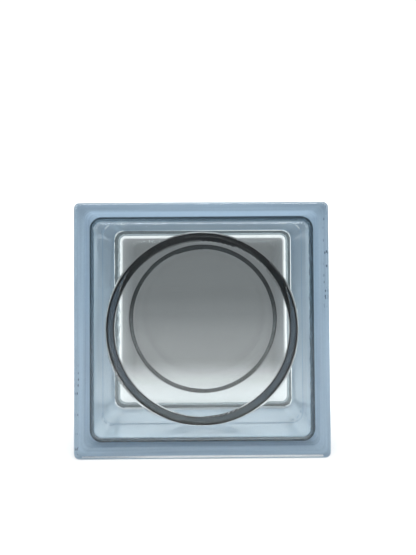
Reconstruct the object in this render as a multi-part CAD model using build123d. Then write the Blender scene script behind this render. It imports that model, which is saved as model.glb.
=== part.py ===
from build123d import *

import os
from math import atan2, degrees, radians, sin, tan

# A hollow glass block: two pressed glass trays, fused rim to rim round a sealed air space.
# Each tray has a flat outer face, a full-width lip round that face, a side wall that
# stands back from the lip to key the mortar, and a thick round boss on the inside of
# the face. Millimetres, +Z up, the front face towards -Y, the origin under the middle.

# The whole block
WIDTH = 190.0  # side of the square face
DEPTH = 95.0  # from outer face to outer face
CORNER = 4.5  # corner radius of the face, seen from the front

# The face plate and its lip
FACE = 8.0  # thickness of the face plate
LIP = 11.0  # how far the full width reaches back from the face
LIP_EDGE = 2.4  # rounding between the face and the lip
LIP_HEEL = 1.6  # rounding where the lip falls away

# The mortar key, all round the block between the two lips
KEY = 5.0  # how far the side wall stands back from the lip
KEY_SLOPE = 6.0  # depth over which the lip falls away to the wall
KEY_HOLLOW = 4.0  # hollow rounding between that slope and the wall
KEY_CORNER = 6.0  # corner radius of the recessed wall

# The side wall, which thins towards the rim so that the tray leaves its mould
WALL = 4.2  # thickness beside the face plate
RIM_WALL = 3.8  # thickness at the rim
CAVITY_CORNER = 10.0  # corner radius of the air space
CAVITY_HOLLOW = 7.5  # inside rounding between the face plate and the wall

# The round boss on the inside of the face
BOSS = 143.5  # diameter where its edge meets the flat of the plate
BOSS_RISE = 6.0  # how far it stands up from the plate
BOSS_SLOPE = 54.0  # angle of its edge to the plate, in degrees
BOSS_TOE = 3.0  # hollow rounding at the foot of its edge
BOSS_SHOULDER = 2.0  # rounding at the top of its edge
BOSS_SKIRT = 1.0  # flat round the toe that is turned with the boss and lies flush in the plate

# The bead that the fused seam leaves, inside and outside
BEAD = 0.6  # how far it stands proud of the wall
BEAD_REACH = 1.6  # how far it reaches from the seam into each tray

# The most that a rounding may take of the edge or corner that it is cut into
TOE_SHARE = 0.7
SHOULDER_SHARE = 0.25
CORNER_SHARE = 0.9

HALF = DEPTH / 2
WALL_SIDE = WIDTH - 2 * KEY
CAVITY_SIDE = WALL_SIDE - 2 * WALL
RIM_SIDE = WALL_SIDE - 2 * RIM_WALL


def square(side, radius, height=0.0):
    """A flat square with round corners, at a height in the tray."""
    return Pos(0, 0, height) * RectangleRounded(side, side, radius)


def taper(low, high):
    """The solid between two such squares."""
    return loft([low.face(), high.face()], ruled=True)


def edges_at(solid, height):
    """The edges of a solid that lie at one height."""
    return solid.edges().filter_by_position(Axis.Z, height - 0.001, height + 0.001)


def outer_form():
    """The tray without its hollow: lip, slope and recessed wall, with rounded edges."""
    foot = LIP + KEY_SLOPE
    lip = extrude(square(WIDTH, CORNER), LIP)
    slope = taper(square(WIDTH, CORNER, LIP), square(WALL_SIDE, KEY_CORNER, foot))
    wall = extrude(square(WALL_SIDE, KEY_CORNER, foot), HALF - foot)
    form = lip + slope + wall
    form = fillet(edges_at(form, foot), KEY_HOLLOW)
    form = fillet(edges_at(form, LIP), LIP_HEEL)
    return fillet(edges_at(form, 0), min(LIP_EDGE, CORNER_SHARE * CORNER))


def outer_bead():
    """The tray's half of the seam's bead, before the hollow is cut through it."""
    start = HALF - BEAD_REACH
    collar = extrude(square(WALL_SIDE + 2 * BEAD, KEY_CORNER + BEAD, start), BEAD_REACH)
    return chamfer(edges_at(collar, start), min(BEAD, CORNER_SHARE * BEAD_REACH))


def hollow():
    """The air space in the tray, widest at the rim and pinched by the bead inside it."""
    start = HALF - BEAD_REACH
    draft = degrees(atan2(WALL - RIM_WALL, start - FACE))
    space = extrude(square(CAVITY_SIDE, CAVITY_CORNER, FACE), start - FACE, taper=-draft)
    space = fillet(edges_at(space, FACE), min(CAVITY_HOLLOW, CORNER_SHARE * CAVITY_CORNER))
    neck = extrude(square(RIM_SIDE - 2 * BEAD, CAVITY_CORNER - BEAD, start), BEAD_REACH)
    return space + neck


def boss():
    """The thick round of the face plate, turned from its section."""
    slope = radians(BOSS_SLOPE)
    edge = BOSS_RISE / sin(slope)
    bend = tan(slope / 2)
    toe = min(BOSS_TOE, TOE_SHARE * edge / bend)
    shoulder = min(BOSS_SHOULDER, SHOULDER_SHARE * edge / bend)
    foot = BOSS / 2
    top = foot - BOSS_RISE / tan(slope)
    skirt = foot + toe * bend + BOSS_SKIRT
    root = FACE / 2
    points = [(0, root), (skirt, root), (skirt, FACE), (foot, FACE)]
    points += [(top, FACE + BOSS_RISE), (0, FACE + BOSS_RISE)]
    section = make_face(Polyline(*points, close=True))
    section = fillet(section.vertices().sort_by_distance((top, FACE + BOSS_RISE))[0], shoulder)
    section = fillet(section.vertices().sort_by_distance((foot, FACE))[0], toe)
    return revolve(Rot(90, 0, 0) * section, Axis.Z)


def tray():
    """One pressed half, lying on its outer face with its rim up."""
    return outer_form() + outer_bead() - hollow() + boss()


def stand(half, turn):
    """Stand a tray on edge with its rim on the seam, facing front at a turn of 0."""
    return Rot(0, 0, turn) * Pos(0, -HALF, WIDTH / 2) * Rot(-90, 0, 0) * half


os.makedirs("parts", exist_ok=True)
half = tray()
export_step(stand(half, 0), "parts/front_half.step")
export_step(stand(half, 180), "parts/back_half.step")
print("glass volume, litres:", round(2 * half.volume / 1e6, 3))
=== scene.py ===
# %% [markdown]
# # A hollow glass block
#
# The real block is two trays of pressed glass. Each has a thick face plate with a round
# boss on its inside, a lip, and a recessed side wall. The trays are fused rim to rim, and
# the sides are coated so that mortar holds to them. The solids of both trays come ready
# made, at their real size. What is left for Blender is what glass lives from: the light
# round it, the finish of each face and the small unevenness of pressing.

# %% Load the two trays
import math
from collections import Counter

import bpy
from mathutils import Euler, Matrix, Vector


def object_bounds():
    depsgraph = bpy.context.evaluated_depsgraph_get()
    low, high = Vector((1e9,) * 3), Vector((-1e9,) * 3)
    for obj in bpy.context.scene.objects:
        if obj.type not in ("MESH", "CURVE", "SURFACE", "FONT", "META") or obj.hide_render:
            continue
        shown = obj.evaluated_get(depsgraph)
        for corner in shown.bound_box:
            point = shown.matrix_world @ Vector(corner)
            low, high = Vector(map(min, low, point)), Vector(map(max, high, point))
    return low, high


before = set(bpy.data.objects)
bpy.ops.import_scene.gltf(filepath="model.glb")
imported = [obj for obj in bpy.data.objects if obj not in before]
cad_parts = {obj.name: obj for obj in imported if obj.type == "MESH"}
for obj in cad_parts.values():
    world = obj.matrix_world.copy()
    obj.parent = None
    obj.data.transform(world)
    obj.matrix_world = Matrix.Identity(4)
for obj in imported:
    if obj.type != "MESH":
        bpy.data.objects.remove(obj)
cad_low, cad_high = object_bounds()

scene = bpy.context.scene
trays = [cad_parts["front_half"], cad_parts["back_half"]]
block_size = cad_high - cad_low
block_middle = (cad_low + cad_high) / 2
print("block, in mm:", [round(side * 1000, 1) for side in block_size])

# %% [markdown]
# ## The camera
#
# A block seen face-on shows its depth only by how much smaller the far face looks, so the
# distance of the camera matters more than anything else. The photograph was taken from
# about a quarter of a metre away, a little above the block's middle. The lens could be set
# in millimetres by eye. It is worked out instead from how wide the face has to look.

# %% Place the camera
IMAGE_HEIGHT = 555  # of the photograph, in pixels
FACE_WIDTH_PX = 257.2  # how wide the front face looks in it
CAMERA_GAP = 0.253  # from the lens to the front face
CAMERA_RIGHT = 0.0039  # to the right of the block's middle
CAMERA_ABOVE = 0.0350  # and above it
CAMERA_PITCH = 0.83  # degrees that it looks up
CAMERA_YAW = 0.2  # degrees that it looks to the right
CAMERA_ROLL = -0.35  # degrees that it leans, to the right when negative
SENSOR = 36.0  # covers the image's longer side
CLIP_START = 0.01

focal_px = FACE_WIDTH_PX / block_size.x * CAMERA_GAP
camera_data = bpy.data.cameras.new("camera")
camera_data.sensor_width = SENSOR
camera_data.lens = focal_px * SENSOR / IMAGE_HEIGHT
camera_data.clip_start = CLIP_START
camera = bpy.data.objects.new("camera", camera_data)
camera.location = (
    block_middle.x + CAMERA_RIGHT,
    cad_low.y - CAMERA_GAP,
    block_middle.z + CAMERA_ABOVE,
)
aim = Euler((math.radians(90 + CAMERA_PITCH), 0, math.radians(-CAMERA_YAW))).to_matrix()
roll = Euler((0, 0, math.radians(CAMERA_ROLL))).to_matrix()
camera.rotation_euler = (aim @ roll).to_euler()
scene.collection.objects.link(camera)
scene.camera = camera
print("lens, in mm:", round(camera_data.lens, 2))

# %% [markdown]
# ## Small tools for node trees
#
# Each finish, and the light of the room too, is a tree of nodes. Nodes can be added and
# wired by hand in the Shader Editor, which is a good way to try out a look. As code, every
# node would take several lines that only say how it is added and wired. A few helpers take
# those lines over, so that each finish below reads as what it is made of.

# %% Helpers for node trees
def plug(socket, value):
    """Link another socket to this one, or give it a fixed value."""
    if isinstance(value, bpy.types.NodeSocket):
        socket.id_data.links.new(value, socket)
    else:
        socket.default_value = value


def new_nodes(tree):
    """Empty a node tree and return a function that adds a node and sets its sockets."""
    tree.nodes.clear()

    def add(kind, settings=None, **sockets):
        node = tree.nodes.new(kind)
        for key, value in (settings or {}).items():
            setattr(node, key, value)
        for key, value in sockets.items():
            plug(node.inputs[key.replace("_", " ")], value)
        return node

    return add


def new_material(name):
    """A material with an empty node tree, and the function that adds its nodes."""
    material = bpy.data.materials.new(name)
    material.use_nodes = True
    return material, new_nodes(material.node_tree)


def linear(red, green, blue):
    """An sRGB colour from 0 to 255 as the linear RGBA that shaders take."""
    def channel(level):
        # The curve of the sRGB standard, which is straight close to black.
        level = level / 255
        return level / 12.92 if level <= 0.04045 else ((level + 0.055) / 1.055) ** 2.4

    return (channel(red), channel(green), channel(blue), 1.0)


def maths(add, operation, first, second=None):
    """One step of arithmetic on a socket and, where given, a second socket or a number."""
    node = add("ShaderNodeMath", {"operation": operation})
    plug(node.inputs[0], first)
    if second is not None:
        plug(node.inputs[1], second)
    return node.outputs["Value"]


def ramp(add, value, start, end):
    """A soft step from 0 to 1 as a value goes from start to end."""
    smooth = {"interpolation_type": "SMOOTHSTEP"}
    step = add("ShaderNodeMapRange", smooth, Value=value, From_Min=start, From_Max=end)
    return step.outputs["Result"]


def mixed(add, share, first, second):
    """Two shaders in one, with a share of the second."""
    both = add("ShaderNodeMixShader", Fac=share)
    plug(both.inputs[1], first.outputs[0])
    plug(both.inputs[2], second.outputs[0])
    return both


print("a grey of 128, as shaders take it:", round(linear(128, 128, 128)[0], 3))

# %% [markdown]
# ## The room
#
# Clear glass has no look of its own. It shows what is behind it, and its edges show what
# is far out to the sides. A picture of a real room could be wrapped round the block, but
# every edge would then show bits of that room. In a plain one only the shape of the glass
# shows. It is pale, dimmer to the sides, which draws darker edges, and dark in front, so
# that the face mirrors little and its lines stay deep.

# %% The room's light
ROOM_PALE = linear(236, 240, 244)
ROOM_DIM = linear(190, 197, 204)
ROOM_FRONT = linear(138, 142, 146)
SIDE_FROM = 0.62, 0.86  # how far a direction points sideways where the room gets dimmer
SIDE_TOP = 0.45, 0.05  # and how far up
FRONT_FROM = -0.78, -0.93  # how far it points to the front where the room gets dark
FRONT_TOP = 0.50, 0.25  # and how far up


def studio_room():
    """A plain room all round, which is part of the world and not a shape."""
    world = bpy.data.worlds.new("studio")
    world.use_nodes = True
    add = new_nodes(world.node_tree)
    place = add("ShaderNodeTexCoord").outputs["Generated"]
    axes = add("ShaderNodeSeparateXYZ", Vector=place).outputs
    sides = ramp(add, maths(add, "ABSOLUTE", axes["X"]), *SIDE_FROM)
    sides = maths(add, "MULTIPLY", sides, ramp(add, axes["Z"], *SIDE_TOP))
    front = ramp(add, axes["Y"], *FRONT_FROM)
    front = maths(add, "MULTIPLY", front, ramp(add, axes["Z"], *FRONT_TOP))
    colour = ROOM_PALE
    for share, shade in (sides, ROOM_DIM), (front, ROOM_FRONT):
        mix = add("ShaderNodeMixRGB", Fac=share, Color1=colour, Color2=shade)
        colour = mix.outputs["Color"]
    room = add("ShaderNodeBackground", Color=colour, Strength=1.0)
    add("ShaderNodeOutputWorld", Surface=room.outputs["Background"])
    return world


scene.world = studio_room()
print("room:", len(scene.world.node_tree.nodes), "nodes")

# %% [markdown]
# ## The paper
#
# Glass is photographed on one sheet of pale paper that is both floor and backdrop, with a
# wide bend and no line between them. In front of bare white paper glass looks empty, so
# painted shade darkens the paper right behind the block, where the glass shows it. A
# photographer does that with a dark card that only shows through the glass. Here the painted
# shade is part of the paper's own colour, and so is painted shade far out in front, where the
# paper meets the dark of the room.
#
# The paper has to look white without more light on the block. A stronger lamp would do it
# and bleach the coat. A faint glow of the paper that only the camera, mirrors and clear
# glass see does it without lighting anything, and the block's shadow stays.

# %% The paper's finish
PAPER = linear(238, 238, 237)
PAPER_ROUGH = 0.9
PAPER_GLOW = 0.36
PAPER_NEAR = linear(192, 192, 191)  # under and before the block, where the lamps are strong
NEAR_FADE = 0.12, -0.06  # from behind the seam to before it
# Painted shade far out in front of the block
PAPER_FRONT_PAINTED_SHADE = linear(112, 114, 116)
FRONT_FADE = -0.16, -1.2  # where painted shade darkens the paper far out in front
# Painted shade behind the block, which shows through the glass
PAPER_PAINTED_SHADE = linear(100, 101, 101)
TONE_ORIGIN = 0.30  # the painted shade widens away from a point this far before the seam
TONE_HEIGHT = 0.13  # and this high
TONE_NEAR = 0.02, 0.30  # how far behind the seam it comes in
TONE_WIDE = 0.37, 0.20  # how far out it fades, as a share of the way from that point
TONE_HIGH = 0.22, 0.10  # and how far up


def backdrop_paper():
    """Matt paper, with painted shade behind the block and far out in front of it."""
    material, add = new_material("pale_paper")
    place = add("ShaderNodeTexCoord").outputs["Object"]
    axes = add("ShaderNodeSeparateXYZ", Vector=place).outputs
    away = maths(add, "ADD", axes["Y"], TONE_ORIGIN)
    wide = maths(add, "DIVIDE", maths(add, "ABSOLUTE", axes["X"]), away)
    high = maths(add, "DIVIDE", maths(add, "SUBTRACT", axes["Z"], TONE_HEIGHT), away)
    tone = ramp(add, axes["Y"], *TONE_NEAR)
    tone = maths(add, "MULTIPLY", tone, ramp(add, wide, *TONE_WIDE))
    tone = maths(add, "MULTIPLY", tone, ramp(add, high, *TONE_HIGH))
    near = ramp(add, axes["Y"], *NEAR_FADE)
    front = maths(add, "SQRT", ramp(add, axes["Y"], *FRONT_FADE))
    colour = PAPER
    # The front and the tone mixes are painted shade, far out in front and behind the block
    for share, shade in (near, PAPER_NEAR), (front, PAPER_FRONT_PAINTED_SHADE), (tone, PAPER_PAINTED_SHADE):
        mix = add("ShaderNodeMixRGB", Fac=share, Color1=colour, Color2=shade)
        colour = mix.outputs["Color"]
    matt = add("ShaderNodeBsdfPrincipled", Base_Color=colour, Roughness=PAPER_ROUGH)
    ray = add("ShaderNodeLightPath").outputs
    seen = maths(add, "MAXIMUM", ray["Is Camera Ray"], ray["Is Glossy Ray"])
    seen = maths(add, "MAXIMUM", seen, ray["Is Transmission Ray"])
    strength = maths(add, "MULTIPLY", seen, PAPER_GLOW)
    glow = add("ShaderNodeEmission", Color=colour, Strength=strength)
    both = add("ShaderNodeAddShader")
    plug(both.inputs[0], matt.outputs["BSDF"])
    plug(both.inputs[1], glow.outputs["Emission"])
    add("ShaderNodeOutputMaterial", Surface=both.outputs["Shader"])
    return material


paper = backdrop_paper()
print("paper:", len(paper.node_tree.nodes), "nodes")

# %% The floor and the backdrop
FLOOR_HALF = 9.0  # how far the paper reaches to the front and to each side
BACKDROP_AWAY = 1.0  # how far behind the seam it starts to bend upwards
BACKDROP_BEND = 0.5  # the radius of that bend
BACKDROP_HEIGHT = 2.4
BEND_STEPS = 16


def sweep(name, half_width, profile, material):
    """A sheet drawn out sideways along a profile of (y, z) points."""
    verts = [(x, y, z) for y, z in profile for x in (-half_width, half_width)]
    faces = [(2 * i, 2 * i + 1, 2 * i + 3, 2 * i + 2) for i in range(len(profile) - 1)]
    mesh = bpy.data.meshes.new(name)
    mesh.from_pydata(verts, [], faces)
    mesh.materials.append(material)
    mesh.polygons.foreach_set("use_smooth", [True] * len(faces))
    sheet = bpy.data.objects.new(name, mesh)
    scene.collection.objects.link(sheet)
    print(name, "faces:", len(faces))


profile = [(-FLOOR_HALF, 0), (0, 0)]
for step in range(BEND_STEPS + 1):
    turn = math.radians(90 * step / BEND_STEPS)
    along = BACKDROP_AWAY + BACKDROP_BEND * math.sin(turn)
    profile.append((along, BACKDROP_BEND * (1 - math.cos(turn))))
profile.append((BACKDROP_AWAY + BACKDROP_BEND, BACKDROP_HEIGHT))
sweep("floor_and_backdrop", FLOOR_HALF, profile, paper)

# %% [markdown]
# ## The lamps
#
# A softbox overhead and one on each side in front light the coat and the inside walls. One
# lamp straight ahead would do that too, but it would show as a glare in the flat face. A
# wide and flat one, high up in front, gives the bright lines along the upper roundings. All
# of them are large, as a small lamp leaves a hard spot in every rounding.

# %% Set up the lamps
ABOVE_MIDDLE = (0, 0, 0.1)
BELOW_MIDDLE = (0, 0, 0.08)


def soft_light(name, place, aim, wide, high, watts):
    """A softbox that faces a point."""
    data = bpy.data.lights.new(name, "AREA")
    data.shape = "RECTANGLE"
    data.size = wide
    data.size_y = high
    data.energy = watts
    lamp = bpy.data.objects.new(name, data)
    lamp.location = place
    towards = Vector(aim) - Vector(place)
    lamp.rotation_euler = towards.to_track_quat("-Z", "Y").to_euler()
    scene.collection.objects.link(lamp)
    print(name, "lamp, in W per square metre:", round(watts / (wide * high), 1))


soft_light("overhead", place=(0, -0.2, 1.6), aim=ABOVE_MIDDLE, wide=1.4, high=1.4, watts=14)
for name, side in ("front_left", -1), ("front_right", 1):
    place = (side * 1.35, -1.15, 1.1)
    soft_light(name, place=place, aim=BELOW_MIDDLE, wide=1.2, high=1.2, watts=11)
soft_light("front_top", place=(0, -1.5, 1.5), aim=ABOVE_MIDDLE, wide=1.8, high=0.5, watts=29)

# %% [markdown]
# ## The clear glass
#
# Pressed soda-lime glass is clear, a touch cool, and never quite flat: it sets against the
# plunger and shrinks away from it. A mirror-flat glass shader looks like acrylic. The
# unevenness could be pushed into the mesh, but that would change a measured shape. A slow,
# shallow bump gives the slight waver that shows in what is seen through the block.

# %% Clear pressed glass
GLASS_IOR = 1.52
CLEAR_TINT = linear(250, 252, 252)
PLATE_TINT = linear(220, 225, 226)
WALL_TINT = linear(222, 236, 246)
WALL_CLEAR = 0.36  # the rest of the wall's glass is a pale haze
WAVER_SCALE = 28.0
WAVER_HEIGHT = 0.00001


def waver_bump(add):
    """The slow, shallow unevenness of pressed glass."""
    place = add("ShaderNodeTexCoord").outputs["Object"]
    waver = add("ShaderNodeTexNoise", Vector=place, Scale=WAVER_SCALE, Detail=1.0)
    height = waver.outputs["Fac"]
    bump = add("ShaderNodeBump", Height=height, Distance=WAVER_HEIGHT, Strength=1.0)
    return bump.outputs["Normal"]


def let_lamps_through(add, shader, tint_and_shade):
    """Shadow rays pass the glass in a straight line, so lamps reach what is inside."""
    clear = add("ShaderNodeBsdfTransparent", Color=tint_and_shade)
    path = add("ShaderNodeLightPath")
    surface = mixed(add, path.outputs["Is Shadow Ray"], shader, clear)
    add("ShaderNodeOutputMaterial", Surface=surface.outputs["Shader"])


def tinted_and_shaded_passage(add, tint_and_shade, clear, waver):
    """Glass that darkens what passes through it, and not what it mirrors: by the glass's own
    tint, and on the edges by painted shade.
    """
    return add(
        "ShaderNodeBsdfPrincipled",
        Base_Color=tint_and_shade,
        Roughness=0.0,
        IOR=GLASS_IOR,
        Transmission_Weight=clear,
        Normal=waver,
    )


def pressed_glass(name, tint_and_shade, clear=1.0):
    """Glass of which a share is clear, and the rest a pale haze."""
    material, add = new_material(name)
    shader = tinted_and_shaded_passage(add, tint_and_shade, clear, waver_bump(add))
    let_lamps_through(add, shader, tint_and_shade)
    return material


clear_glass = pressed_glass("pressed_glass_clear", CLEAR_TINT)
plate_glass = pressed_glass("pressed_glass_plate", PLATE_TINT)
wall_glass = pressed_glass("pressed_glass_wall", WALL_TINT, WALL_CLEAR)
print("clear glass:", clear_glass.name, plate_glass.name, wall_glass.name)

# %% [markdown]
# ## Painted shade on the edges of the glass
#
# Real glass tints light by how far the light goes through it. Straight through the two plates
# it stays nearly clear, and light that runs a long way sideways inside it comes out a little
# green. The dark lines at the edge of the boss and in the hollow of the air space come mostly
# from dark surroundings that those edges bend or mirror in. Here they are painted shade: each
# of those faces darkens, by a fixed colour, the light that passes or is mirrored there. A
# volume would give the green of long paths, but slowly and with much noise.

# %% Glass with painted shade on its edges
# Painted shade: how dark each edge of the glass makes the light that passes or is mirrored there
STEEP_PAINTED_SHADE = linear(100, 110, 114)
HOLLOW_PAINTED_SHADE = linear(158, 168, 172)
RING_PAINTED_SHADE = linear(58, 66, 68)
RING_LINE_PAINTED_SHADE = linear(18, 23, 24)
RING_MIRROR = 0.15  # the share of light that the ring mirrors inside without its painted shade


def shaded_edge_glass(name, tint_and_shade, mirror=0.0):
    """Glass with painted shade on the light it passes, and on its mirroring inside too, or all
    but a share of it.
    """
    material, add = new_material(name)
    waver = waver_bump(add)
    shader = add("ShaderNodeBsdfGlass", Color=tint_and_shade, Roughness=0.0, IOR=GLASS_IOR, Normal=waver)
    if mirror:
        shader = mixed(add, mirror, shader, tinted_and_shaded_passage(add, tint_and_shade, 1.0, waver))
    let_lamps_through(add, shader, tint_and_shade)
    return material


# Painted shade on the steep and hollow roundings of the air space, and on the edge of the boss
steep_shaded_glass = shaded_edge_glass("pressed_glass_steep_painted_shade", STEEP_PAINTED_SHADE)
hollow_shaded_glass = shaded_edge_glass("pressed_glass_hollow_painted_shade", HOLLOW_PAINTED_SHADE)
ring_shaded_glass = shaded_edge_glass("pressed_glass_ring_painted_shade", RING_PAINTED_SHADE, RING_MIRROR)
ring_line_shaded_glass = shaded_edge_glass("pressed_glass_ring_line_painted_shade", RING_LINE_PAINTED_SHADE, RING_MIRROR)
print("glass with painted shade:", steep_shaded_glass.name, hollow_shaded_glass.name, ring_shaded_glass.name, ring_line_shaded_glass.name)

# %% [markdown]
# ## The coated sides
#
# The mortar sides wear a matt, blue-grey coat. Seen through the glass of the lip it is the
# band all round the window, with brush marks that run along it, a fine grain and a few
# stretches of small dark pits. A painted picture would have to be laid round every corner.
# Noise that is stretched along the sides needs no laying out and fits a block of any size.
# Paint on glass lets some daylight through, so the coat is rather more than half
# translucent, and the rest is plain matt.

# %% Marks in the coat
NOISE_RANGE = 0.3, 0.7  # most of a noise lies between these
BRUSH_SCALE = (9.0, 420.0, 9.0)  # brush marks run round the block, so they change with depth
BRUSH_DETAIL = 3.0
BRUSH_DEPTH = 0.20
GRAIN_SCALE = (650.0, 90.0, 650.0)  # and the grain across them
GRAIN_DETAIL = 2.0
GRAIN_DEPTH = 0.045
SPECK_SCALE = (520.0, 420.0, 250.0)
SPECK_SIZE = 0.28
SPECK_HEIGHT = 0.0875  # pits lie below it on the left side, and above it on the right
SPECK_CORNER = 0.0014, 0.0030  # the way out from the middle times the way from that height
SPECK_SIDE = 0.0925, 0.0940  # how far out they set in, which only the sides of the lips reach


def streaked(add, place, colour, scale, detail, depth):
    """A colour that stretched noise darkens by a share of up to a depth."""
    stretch = add("ShaderNodeMapping", Vector=place, Scale=scale)
    marks = add("ShaderNodeTexNoise", Vector=stretch.outputs["Vector"], Scale=1.0, Detail=detail)
    shade = add(
        "ShaderNodeMapRange",
        Value=marks.outputs["Fac"],
        From_Min=NOISE_RANGE[0],
        From_Max=NOISE_RANGE[1],
        To_Min=1 - depth,
        To_Max=1.0,
    )
    darker = shade.outputs["Result"]
    multiply = {"blend_type": "MULTIPLY"}
    mix = add("ShaderNodeMixRGB", multiply, Fac=1.0, Color1=colour, Color2=darker)
    return mix.outputs["Color"]


def speck_mask(add, place):
    """Small dark pits in the coat, low on the left side and high on the right."""
    near = add("ShaderNodeMapping", Vector=place, Scale=SPECK_SCALE)
    spot = add("ShaderNodeTexVoronoi", Vector=near.outputs["Vector"], Scale=1.0)
    inside = maths(add, "LESS_THAN", spot.outputs["Distance"], SPECK_SIZE)
    axes = add("ShaderNodeSeparateXYZ", Vector=place).outputs
    above = maths(add, "SUBTRACT", axes["Z"], SPECK_HEIGHT)
    corner = ramp(add, maths(add, "MULTIPLY", axes["X"], above), *SPECK_CORNER)
    side = ramp(add, maths(add, "ABSOLUTE", axes["X"]), *SPECK_SIDE)
    return maths(add, "MULTIPLY", inside, maths(add, "MULTIPLY", corner, side))


print("brush marks darken the coat by up to", BRUSH_DEPTH, "and the grain by", GRAIN_DEPTH)

# %% Matt coat on the mortar sides
COAT = linear(154, 174, 191)
COAT_ROUGH = 0.8
COAT_GLOW = 0.6  # the share of the coat that light passes; the rest is plain matt
SPECK_COLOUR = linear(86, 100, 114)


def edge_coat():
    """A brushed, part translucent paint that is seen through the glass it lies on."""
    material, add = new_material("edge_coat")
    place = add("ShaderNodeTexCoord").outputs["Object"]
    brushed = streaked(add, place, COAT, BRUSH_SCALE, BRUSH_DETAIL, BRUSH_DEPTH)
    grained = streaked(add, place, brushed, GRAIN_SCALE, GRAIN_DETAIL, GRAIN_DEPTH)
    specks = speck_mask(add, place)
    worn = add("ShaderNodeMixRGB", Fac=specks, Color1=grained, Color2=SPECK_COLOUR)
    tone = worn.outputs["Color"]
    paint = add(
        "ShaderNodeBsdfPrincipled",
        Base_Color=tone,
        Roughness=COAT_ROUGH,
        Specular_IOR_Level=0.0,
    )
    glow = add("ShaderNodeBsdfTranslucent", Color=tone)
    surface = mixed(add, COAT_GLOW, paint, glow)
    add("ShaderNodeOutputMaterial", Surface=surface.outputs["Shader"])
    return material


coat = edge_coat()
print("coat:", len(coat.node_tree.nodes), "nodes")

# %% [markdown]
# ## The seam
#
# The rims of the two trays were melted into each other, so there is no surface between
# them. The solids still end there, face on face. Taking those faces away would open both
# meshes. A transparent finish keeps them whole, and light passes as through one piece.

# %% Fused glass at the seam
def fused_seam():
    """Nothing to see: light goes straight on, as it does inside one piece of glass."""
    material, add = new_material("fused_seam")
    shader = add("ShaderNodeBsdfTransparent")
    add("ShaderNodeOutputMaterial", Surface=shader.outputs["BSDF"])
    return material


seam = fused_seam()
print("seam:", seam.name)

# %% [markdown]
# ## Which part of the block wears which finish
#
# On the real block the coat stops where the lip turns to the front. The dark lines on the
# roundings and on the sloping edge of the boss are painted shade here. Each part could be
# picked by hand in Edit Mode, and again after every change of size. A rule does it once: it
# reads from each mesh face where it lies and how far it turns to the front.

# %% Give each face its finish
# ring, ring line, steep and hollow are glass with painted shade
FINISHES = {
    "clear": clear_glass,
    "plate": plate_glass,
    "ring": ring_shaded_glass,
    "ring line": ring_line_shaded_glass,
    "wall": wall_glass,
    "steep": steep_shaded_glass,
    "hollow": hollow_shaded_glass,
    "coat": coat,
    "seam": seam,
}

# How far out from the block's middle, to the side or up and down
COAT_FROM = 0.0875  # between the inside and the outside of the wall
HOLLOW_FROM = 0.0775  # just short of the hollow rounding of the air space
BOSS_REACH = 0.076  # just past the foot of the boss, as a radius

# How far from the seam
SEAM_FLAT = 0.00001
RELIEF_FROM = 0.030  # just short of the hollow rounding and the top of the boss
ROUND_FROM = 0.044  # just short of the rounding between the lip and the face
FACE_SKIN = 0.004  # the outer face and its rounding lie no deeper in the block than this

# How far a face turns to the front or the back, from 0, sideways, to 1, straight ahead
SEAM_TURN = 0.99
COAT_TURN = 0.4  # coated up to here on the rounding of the lip
RING_SLOPE = 0.56, 0.62  # the straight edge of the boss, with its two roundings beyond
WALL_TURN = 0.02  # the inside of the wall turns less than this
HOLLOW_CLEAR = 0.36  # the hollow rounding is clear up to here
HOLLOW_STEEP = 0.80  # then painted shade, dark up to here, and less dark up to the plate
PLATE_TURN = 0.92  # the flats of the plate and of the boss turn more than this


def relief_finish(middle, out, turn):
    """The finish of a face on the inside of the plate or in the hollow round it."""
    if turn > PLATE_TURN:
        return "plate"
    if math.hypot(middle.x, middle.z) < BOSS_REACH:
        return "ring" if RING_SLOPE[0] < turn < RING_SLOPE[1] else "ring line"
    if out < HOLLOW_FROM or WALL_TURN < turn < HOLLOW_CLEAR:
        return "clear"
    if turn < WALL_TURN:
        return "wall"
    return "steep" if turn < HOLLOW_STEEP else "hollow"


def finish_of(face, towards_face):
    """The name of the finish that a face wears."""
    middle = face.center - block_middle
    out = max(abs(middle.x), abs(middle.z))
    depth = abs(middle.y)
    turn = abs(face.normal.y)
    if depth < SEAM_FLAT and turn > SEAM_TURN:
        return "seam"
    on_face = depth > ROUND_FROM and face.normal.y * towards_face > COAT_TURN
    if out > COAT_FROM and not on_face:
        return "coat"
    if RELIEF_FROM < depth < block_size.y / 2 - FACE_SKIN:
        return relief_finish(middle, out, turn)
    return "wall" if HOLLOW_FROM < out < COAT_FROM and turn < WALL_TURN else "clear"


names = list(FINISHES)
for tray, towards_face in zip(trays, (-1, 1)):
    mesh = tray.data
    mesh.materials.clear()
    for material in FINISHES.values():
        mesh.materials.append(material)
    for face in mesh.polygons:
        face.material_index = names.index(finish_of(face, towards_face))
    print(tray.name, Counter(names[face.material_index] for face in mesh.polygons))

# %% [markdown]
# ## How far light is followed
#
# A ray through this block crosses at least four glass surfaces, and many more where it is
# mirrored round inside an edge. With Blender's default of twelve bounces such rays end
# early and leave black blots. More bounces cost little here, as few rays need them.

# %% Let light through many layers of glass
GLASS_BOUNCES = 32
MIRROR_BOUNCES = 8

scene.cycles.max_bounces = GLASS_BOUNCES
scene.cycles.transmission_bounces = GLASS_BOUNCES
scene.cycles.transparent_max_bounces = GLASS_BOUNCES
scene.cycles.glossy_bounces = MIRROR_BOUNCES
print("bounces:", scene.cycles.max_bounces)

# %% [markdown]
# ## Colours
#
# The Standard view shows each colour as it was written, where a film-like view would shift
# it.

# %% Colours
scene.view_settings.view_transform = "Standard"
